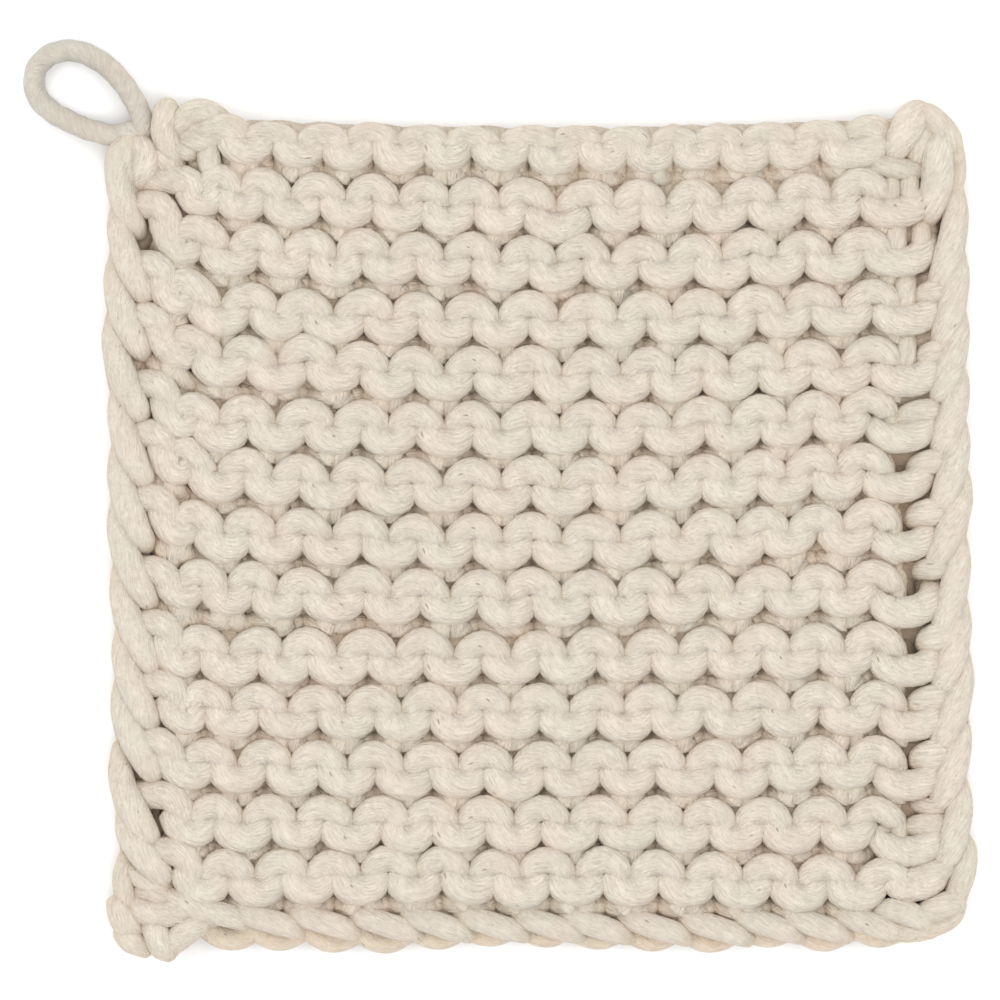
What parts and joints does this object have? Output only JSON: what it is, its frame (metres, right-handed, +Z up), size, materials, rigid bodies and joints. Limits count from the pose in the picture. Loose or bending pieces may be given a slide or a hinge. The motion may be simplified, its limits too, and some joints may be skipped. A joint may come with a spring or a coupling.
{
  "type": "pot holder",
  "caption": "Square cotton pot holder in thick garter stitch, with chained side edges and a corner cord loop for hanging",
  "frame": {"origin": "under the middle of the knitted square, on the surface that it lies on", "axes": "+Z up out of the cloth's front face, +Y towards the bound-off edge, +X to the right in the picture, with the loop at the -X +Y corner"},
  "size_m": [0.223, 0.2157, 0.013],
  "materials": {
    "yarn": "thick soft undyed cotton yarn of many strands, matt",
    "cord": "braided undyed cotton cord, matt"
  },
  "bodies": {
    "root": {"knitted_square": "yarn", "hanging_loop": "cord"}
  },
  "joints": []
}
